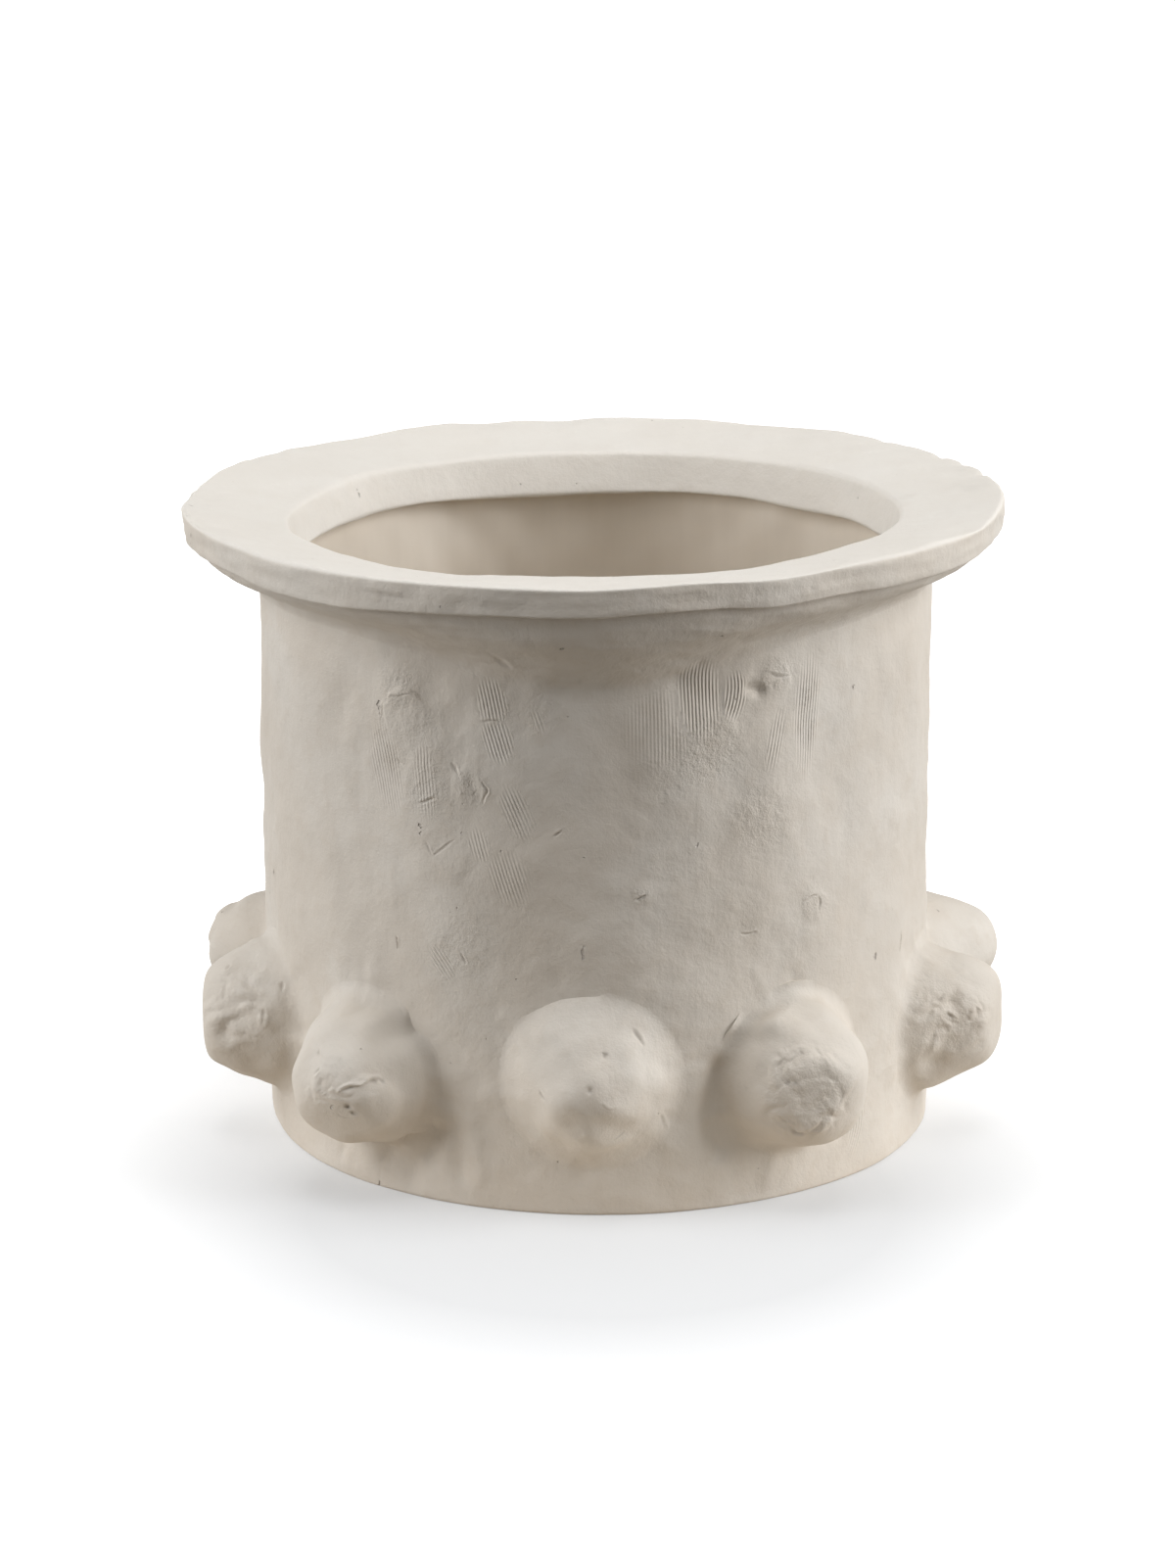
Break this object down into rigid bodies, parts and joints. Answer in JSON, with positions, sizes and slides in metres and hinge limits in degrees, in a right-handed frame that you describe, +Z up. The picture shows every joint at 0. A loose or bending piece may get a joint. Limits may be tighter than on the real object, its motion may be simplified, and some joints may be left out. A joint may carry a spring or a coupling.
{
  "type": "flower pot",
  "caption": "Hand-built stoneware flower pot: a straight round wall on a slab floor, a broad dished rim ring on a cove, and a belt of pressed clay knobs low on the wall.",
  "frame": {"origin": "on the ground under the centre of the pot's foot", "axes": "+Z up; -Y towards the viewer of the picture, so the knob seen in the middle is at -Y; +X to the viewer's right"},
  "size_m": [0.4124, 0.4147, 0.3152],
  "materials": {
    "stoneware": "unglazed matte stoneware, hand-smoothed, with finger marks",
    "glaze": "thin clear satin glaze on the inside"
  },
  "bodies": {
    "root": {"wall": "stoneware", "floor_slab": "glaze", "floor_coil": "glaze", "rim_cove": "stoneware", "rim_ring": "stoneware", "knob_01": "stoneware", "knob_collar_01": "stoneware", "knob_02": "stoneware", "knob_collar_02": "stoneware", "knob_03": "stoneware", "knob_collar_03": "stoneware", "knob_04": "stoneware", "knob_collar_04": "stoneware", "knob_05": "stoneware", "knob_collar_05": "stoneware", "knob_06": "stoneware", "knob_collar_06": "stoneware", "knob_07": "stoneware", "knob_collar_07": "stoneware", "knob_08": "stoneware", "knob_collar_08": "stoneware", "knob_09": "stoneware", "knob_collar_09": "stoneware", "knob_10": "stoneware", "knob_collar_10": "stoneware"}
  },
  "joints": []
}
